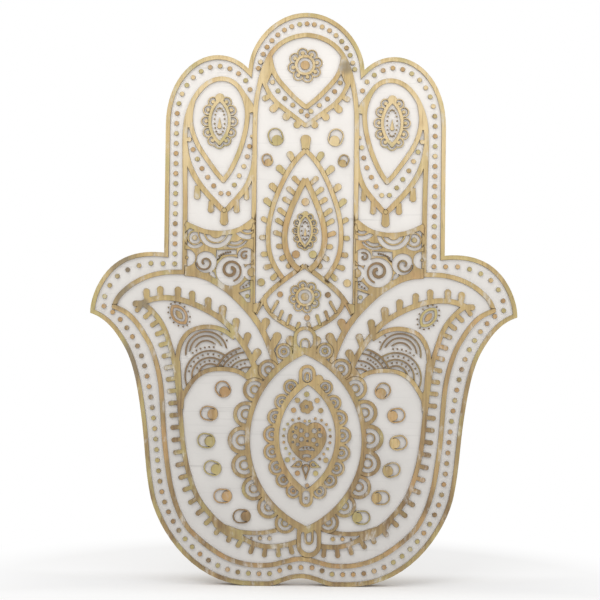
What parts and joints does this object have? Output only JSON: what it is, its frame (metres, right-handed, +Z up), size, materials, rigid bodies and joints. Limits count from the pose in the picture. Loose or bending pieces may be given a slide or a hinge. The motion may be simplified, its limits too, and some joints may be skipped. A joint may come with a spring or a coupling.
{
  "type": "hamsa hand wall ornament",
  "caption": "Wooden hamsa hand wall plaque: a fretted face of bands, beads, paisleys and a central almond over a white painted ground, with pull rings and rubber pads on its back.",
  "frame": {"origin": "middle of the plaque's width and thickness, at the lowest point of its two lobes", "axes": "+Z up along the hand, -Y out of the carved face, +Y towards the wall, +X to the right as seen from the front"},
  "size_m": [0.447, 0.0212, 0.6],
  "materials": {
    "carved_face": "raw golden wood with burnt cut walls",
    "white_ground": "thin white paint, worn",
    "core_veneer": "raw plywood edge",
    "cross_veneer": "raw plywood edge, end grain",
    "back_veneer": "raw sanded veneer",
    "steel": "zinc plated",
    "rubber": "matt"
  },
  "bodies": {
    "board": {"back_ply": "back_veneer", "rear_cross_ply": "cross_veneer", "core_ply": "core_veneer", "ground_ply": "white_ground", "outer_rim": "carved_face", "border_beads": "carved_face", "mandorla_frame": "carved_face", "scroll_panels": "carved_face", "palm_frames": "carved_face", "finger_frames": "carved_face", "fan_ribs": "carved_face", "scrolls": "carved_face", "finger_beads": "carved_face", "round_studs": "carved_face", "top_flower": "carved_face", "palm_flower": "carved_face", "flower_eyes": "carved_face", "side_paisleys": "carved_face", "finger_paisley": "carved_face", "leaf_ovals": "carved_face", "eye_discs": "carved_face", "inner_almond": "carved_face", "heart": "carved_face", "heart_flower": "carved_face", "heart_sprig": "carved_face", "heart_beads": "carved_face", "seed_beads": "carved_face", "hanger_straps": "steel", "hanger_screws": "steel", "rubber_pads": "rubber"},
    "ring_left": {"ring_left": "steel"},
    "ring_right": {"ring_right": "steel"}
  },
  "joints": [
    {"name": "left_ring_pivot", "type": "hinge", "parent": "board", "child": "ring_left", "pos_m": [-0.092, 0.00765, 0.43], "axis": [1, 0, 0], "range_deg": [0, 180]},
    {"name": "right_ring_pivot", "type": "hinge", "parent": "board", "child": "ring_right", "pos_m": [0.092, 0.00765, 0.43], "axis": [1, 0, 0], "range_deg": [0, 180]}
  ]
}
